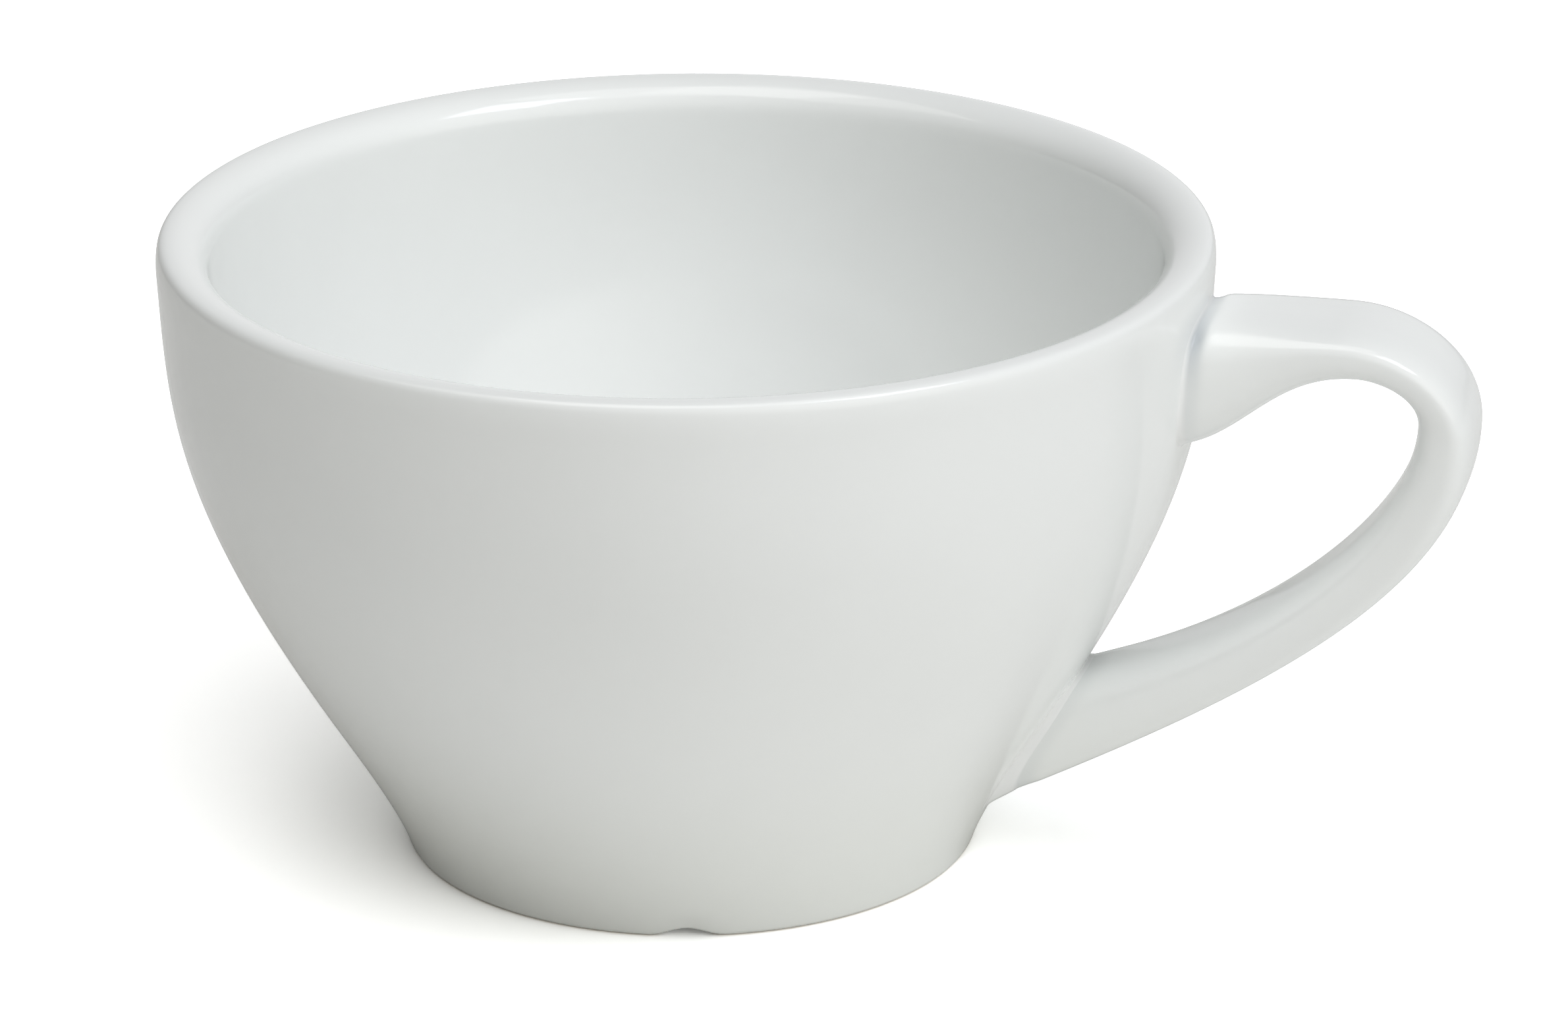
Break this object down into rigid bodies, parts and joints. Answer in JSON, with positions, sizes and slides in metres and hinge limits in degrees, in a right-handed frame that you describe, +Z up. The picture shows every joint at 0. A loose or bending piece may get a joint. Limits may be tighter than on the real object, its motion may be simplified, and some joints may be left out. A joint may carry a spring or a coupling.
{
  "type": "coffee cup",
  "caption": "White glazed porcelain coffee cup with a wide round bowl on a small foot ring and a strap handle for one finger, luted to the wall with slip.",
  "frame": {"origin": "on the table under the middle of the cup's outline, handle included; the bowl's own axis stands 12.85 mm to the -X side of it", "axes": "+X towards the handle, +Z up along the bowl's axis"},
  "size_m": [0.1256, 0.1, 0.061],
  "materials": {
    "white_glaze": "smooth gloss transparent glaze over white porcelain, bare on the foot's contact ring",
    "pooled_glaze": "gloss glaze lying thicker and slightly bluish over the slip necks"
  },
  "bodies": {
    "root": {"cup_body": "white_glaze", "handle": "white_glaze", "upper_slip_joint": "pooled_glaze", "lower_slip_joint": "pooled_glaze"}
  },
  "joints": []
}
